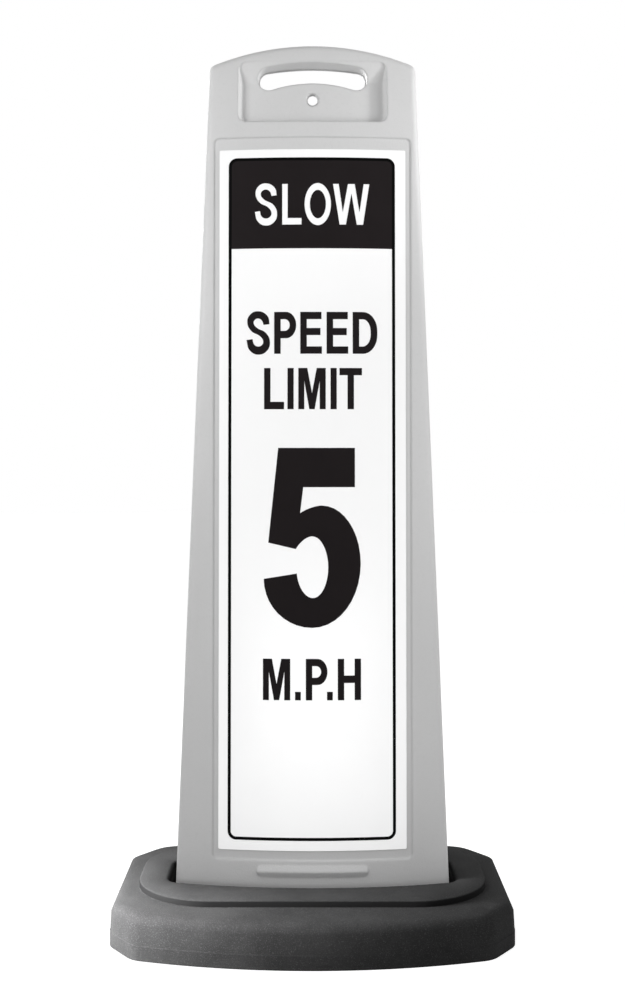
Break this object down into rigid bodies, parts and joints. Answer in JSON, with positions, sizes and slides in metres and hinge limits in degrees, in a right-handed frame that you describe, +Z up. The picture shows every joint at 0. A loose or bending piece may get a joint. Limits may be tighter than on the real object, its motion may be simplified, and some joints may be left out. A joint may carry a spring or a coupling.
{
  "type": "portable speed limit sign",
  "caption": "Free-standing speed limit sign: tapered hollow plastic panel with a carrying handle and printed face, held upright by a heavy rubber ring base.",
  "frame": {"origin": "on the floor under the middle of the sign", "axes": "+Z up, +X to the viewer's right, the printed face looks towards -Y"},
  "size_m": [0.454, 0.3268, 1.0225],
  "materials": {
    "panel_plastic": "satin moulded polyethylene, light grey",
    "printed_sheet": "smooth white film with black print",
    "base_rubber": "matt moulded recycled rubber"
  },
  "bodies": {
    "root": {"sign_panel": "panel_plastic", "sign_sheet": "printed_sheet", "rubber_base": "base_rubber"}
  },
  "joints": []
}
